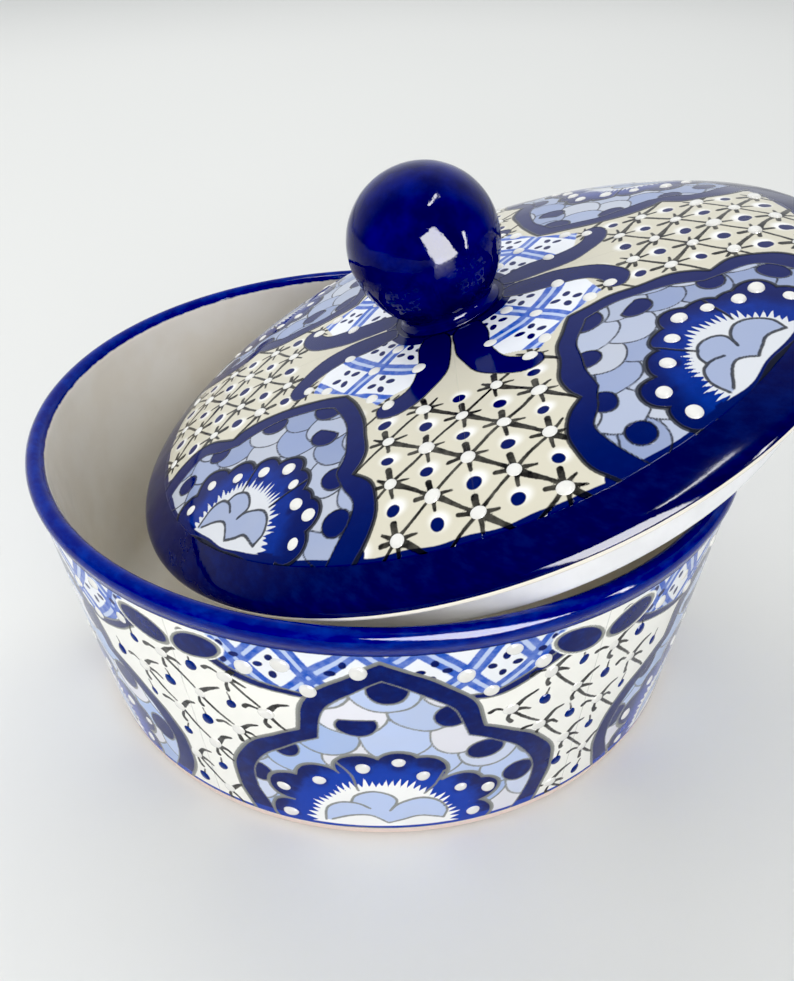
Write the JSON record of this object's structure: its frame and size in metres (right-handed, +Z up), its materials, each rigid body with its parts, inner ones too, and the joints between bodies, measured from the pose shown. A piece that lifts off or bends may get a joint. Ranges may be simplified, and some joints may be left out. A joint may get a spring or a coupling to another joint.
{
  "type": "covered casserole",
  "caption": "Round glazed ceramic casserole: flared dish with a rolled rim, raised dabs and a low domed lid with a ball knob that leans in the mouth.",
  "frame": {"origin": "centre of the dish's flat base, on the surface it stands on", "axes": "+Z up; the lid leans down towards -X and stands out past the rim towards +X; +Y completes the right-handed frame"},
  "size_m": [0.3053, 0.283, 0.2044],
  "materials": {
    "dish_glaze": "gloss tin glaze with cobalt painting",
    "lid_glaze": "gloss tin glaze with cobalt painting",
    "cream_glaze": "gloss cream glaze",
    "cobalt_glaze": "gloss cobalt glaze",
    "white_slip": "gloss glaze over raised slip",
    "blue_slip": "gloss glaze over raised slip"
  },
  "bodies": {
    "dish": {"dish_body": "dish_glaze", "dish_swag_beads_1": "white_slip", "dish_swag_beads_2": "white_slip", "dish_swag_beads_3": "white_slip", "dish_swag_beads_4": "white_slip", "dish_swag_beads_5": "white_slip", "dish_swag_beads_6": "white_slip", "dish_fan_beads_1": "white_slip", "dish_fan_beads_2": "white_slip", "dish_fan_beads_3": "white_slip", "dish_fan_beads_4": "white_slip", "dish_fan_beads_5": "white_slip", "dish_fan_beads_6": "white_slip", "dish_white_beads_1": "white_slip", "dish_white_beads_2": "white_slip", "dish_white_beads_3": "white_slip", "dish_white_beads_4": "white_slip", "dish_white_beads_5": "white_slip", "dish_white_beads_6": "white_slip", "dish_blue_beads_1": "blue_slip", "dish_blue_beads_2": "blue_slip", "dish_blue_beads_3": "blue_slip", "dish_blue_beads_4": "blue_slip", "dish_blue_beads_5": "blue_slip", "dish_blue_beads_6": "blue_slip"},
    "lid": {"lid_dome": "lid_glaze", "lid_flange": "cream_glaze", "lid_knob": "cobalt_glaze", "lid_crown_beads_1": "white_slip", "lid_crown_beads_2": "white_slip", "lid_crown_beads_3": "white_slip", "lid_crown_beads_4": "white_slip", "lid_fan_beads_1": "white_slip", "lid_fan_beads_2": "white_slip", "lid_fan_beads_3": "white_slip", "lid_fan_beads_4": "white_slip", "lid_white_beads_1": "white_slip", "lid_white_beads_2": "white_slip", "lid_white_beads_3": "white_slip", "lid_white_beads_4": "white_slip"}
  },
  "joints": [
    {"name": "lid_lift", "type": "slide", "parent": "dish", "child": "lid", "axis": [0, 0, 1], "range_m": [0, 0.15]}
  ]
}
